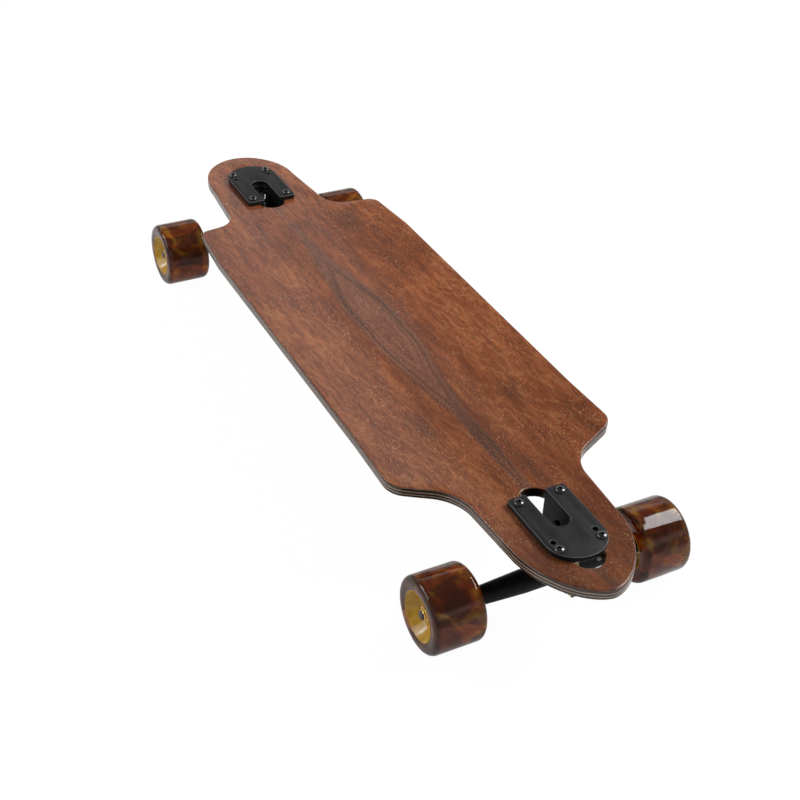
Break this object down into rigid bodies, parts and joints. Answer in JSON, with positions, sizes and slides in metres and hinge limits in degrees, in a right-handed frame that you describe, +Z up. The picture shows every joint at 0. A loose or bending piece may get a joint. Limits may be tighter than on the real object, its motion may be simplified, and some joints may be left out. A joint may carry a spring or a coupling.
{
  "type": "drop-through cruiser board",
  "caption": "Short drop-through cruiser board: cut-out concave deck on reverse-kingpin trucks that steer as it leans, with soft wheels on ball bearings.",
  "frame": {"origin": "on the ground under the middle of the deck, at the bottom centre of the whole board's box", "axes": "+X along the deck to the nose, +Y to the rider's left, +Z up"},
  "size_m": [0.826, 0.2562, 0.1062],
  "materials": {
    "deck_veneer": "satin lacquered dark veneer over pale plies",
    "black_casting": "satin black powder coat",
    "black_hardware": "gloss black oxide",
    "plated_steel": "zinc plated",
    "gold_hardware": "gold plated steel",
    "tyre_urethane": "glossy translucent amber-brown urethane",
    "core_plastic": "golden yellow moulded plastic",
    "bearing_steel": "polished",
    "bushing_urethane": "satin amber urethane",
    "cup_plastic": "matt black"
  },
  "bodies": {
    "board": {"deck": "deck_veneer", "front_baseplate": "black_casting", "front_pivot_cup": "cup_plastic", "front_kingpin": "black_hardware", "front_kingpin_nut": "gold_hardware", "front_boardside_washer": "plated_steel", "front_roadside_washer": "plated_steel", "front_boardside_bushing": "bushing_urethane", "front_roadside_bushing": "bushing_urethane", "front_deck_bolt_1": "black_hardware", "front_deck_bolt_2": "black_hardware", "front_deck_bolt_3": "black_hardware", "front_deck_bolt_4": "black_hardware", "front_lock_nut_1": "plated_steel", "front_lock_nut_2": "plated_steel", "front_lock_nut_3": "plated_steel", "front_lock_nut_4": "plated_steel", "rear_baseplate": "black_casting", "rear_pivot_cup": "cup_plastic", "rear_kingpin": "black_hardware", "rear_kingpin_nut": "gold_hardware", "rear_boardside_washer": "plated_steel", "rear_roadside_washer": "plated_steel", "rear_boardside_bushing": "bushing_urethane", "rear_roadside_bushing": "bushing_urethane", "rear_deck_bolt_1": "black_hardware", "rear_deck_bolt_2": "black_hardware", "rear_deck_bolt_3": "black_hardware", "rear_deck_bolt_4": "black_hardware", "rear_lock_nut_1": "plated_steel", "rear_lock_nut_2": "plated_steel", "rear_lock_nut_3": "plated_steel", "rear_lock_nut_4": "plated_steel"},
    "front_hanger_unit": {"front_hanger": "black_casting", "front_axle": "plated_steel", "front_left_axle_nut": "gold_hardware", "front_right_axle_nut": "gold_hardware"},
    "rear_hanger_unit": {"rear_hanger": "black_casting", "rear_axle": "plated_steel", "rear_left_axle_nut": "gold_hardware", "rear_right_axle_nut": "gold_hardware"},
    "front_left_wheel": {"front_left_tyre": "tyre_urethane", "front_left_wheel_core": "core_plastic", "front_left_inner_bearing": "bearing_steel", "front_left_outer_bearing": "bearing_steel"},
    "front_right_wheel": {"front_right_tyre": "tyre_urethane", "front_right_wheel_core": "core_plastic", "front_right_inner_bearing": "bearing_steel", "front_right_outer_bearing": "bearing_steel"},
    "rear_left_wheel": {"rear_left_tyre": "tyre_urethane", "rear_left_wheel_core": "core_plastic", "rear_left_inner_bearing": "bearing_steel", "rear_left_outer_bearing": "bearing_steel"},
    "rear_right_wheel": {"rear_right_tyre": "tyre_urethane", "rear_right_wheel_core": "core_plastic", "rear_right_inner_bearing": "bearing_steel", "rear_right_outer_bearing": "bearing_steel"}
  },
  "joints": [
    {"name": "front_steer", "type": "hinge", "parent": "board", "child": "front_hanger_unit", "pos_m": [0.34053, 0, 0.06403], "axis": [0.6428, 0, 0.766], "range_deg": [-20, 20], "stiffness_Nm_per_rad": 45, "deforming": ["front_boardside_bushing", "front_roadside_bushing"]},
    {"name": "rear_steer", "type": "hinge", "parent": "board", "child": "rear_hanger_unit", "pos_m": [-0.34053, 0, 0.06403], "axis": [-0.6428, 0, 0.766], "range_deg": [-20, 20], "stiffness_Nm_per_rad": 45, "deforming": ["rear_boardside_bushing", "rear_roadside_bushing"]},
    {"name": "front_left_wheel_spin", "type": "hinge", "parent": "front_hanger_unit", "child": "front_left_wheel", "pos_m": [0.3227, 0, 0.035], "axis": [0, 1, 0], "continuous": true},
    {"name": "front_right_wheel_spin", "type": "hinge", "parent": "front_hanger_unit", "child": "front_right_wheel", "pos_m": [0.3227, 0, 0.035], "axis": [0, 1, 0], "continuous": true},
    {"name": "rear_left_wheel_spin", "type": "hinge", "parent": "rear_hanger_unit", "child": "rear_left_wheel", "pos_m": [-0.3227, 0, 0.035], "axis": [0, 1, 0], "continuous": true},
    {"name": "rear_right_wheel_spin", "type": "hinge", "parent": "rear_hanger_unit", "child": "rear_right_wheel", "pos_m": [-0.3227, 0, 0.035], "axis": [0, 1, 0], "continuous": true}
  ]
}
